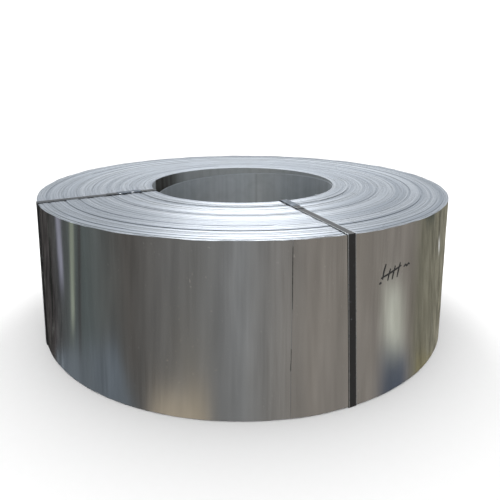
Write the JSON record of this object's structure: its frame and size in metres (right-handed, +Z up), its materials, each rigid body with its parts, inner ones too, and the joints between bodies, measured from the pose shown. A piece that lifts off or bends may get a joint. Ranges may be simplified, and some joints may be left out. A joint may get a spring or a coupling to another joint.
{
  "type": "steel coil",
  "caption": "Wound coil of narrow bright steel strip standing with its bore upright, bound through the bore by steel straps with crimped seals.",
  "frame": {"origin": "on the coil's axis, on the floor plane that the undersides of the straps stand on", "axes": "+Z up along the bore; -Y towards the side that the front strap is on; +X to the right as seen from there"},
  "size_m": [0.7699, 0.77, 0.2542],
  "materials": {
    "strip_steel": "bright cold-rolled strip, lightly oiled, with slit edges on the ends",
    "strap_steel": "black painted and waxed strapping, worn along its edges",
    "seal_steel": "dull blued sheet steel, bright at its crimps"
  },
  "bodies": {
    "root": {"coil": "strip_steel", "front_strap": "strap_steel", "side_strap": "strap_steel", "front_seal": "seal_steel", "side_seal": "seal_steel"}
  },
  "joints": []
}
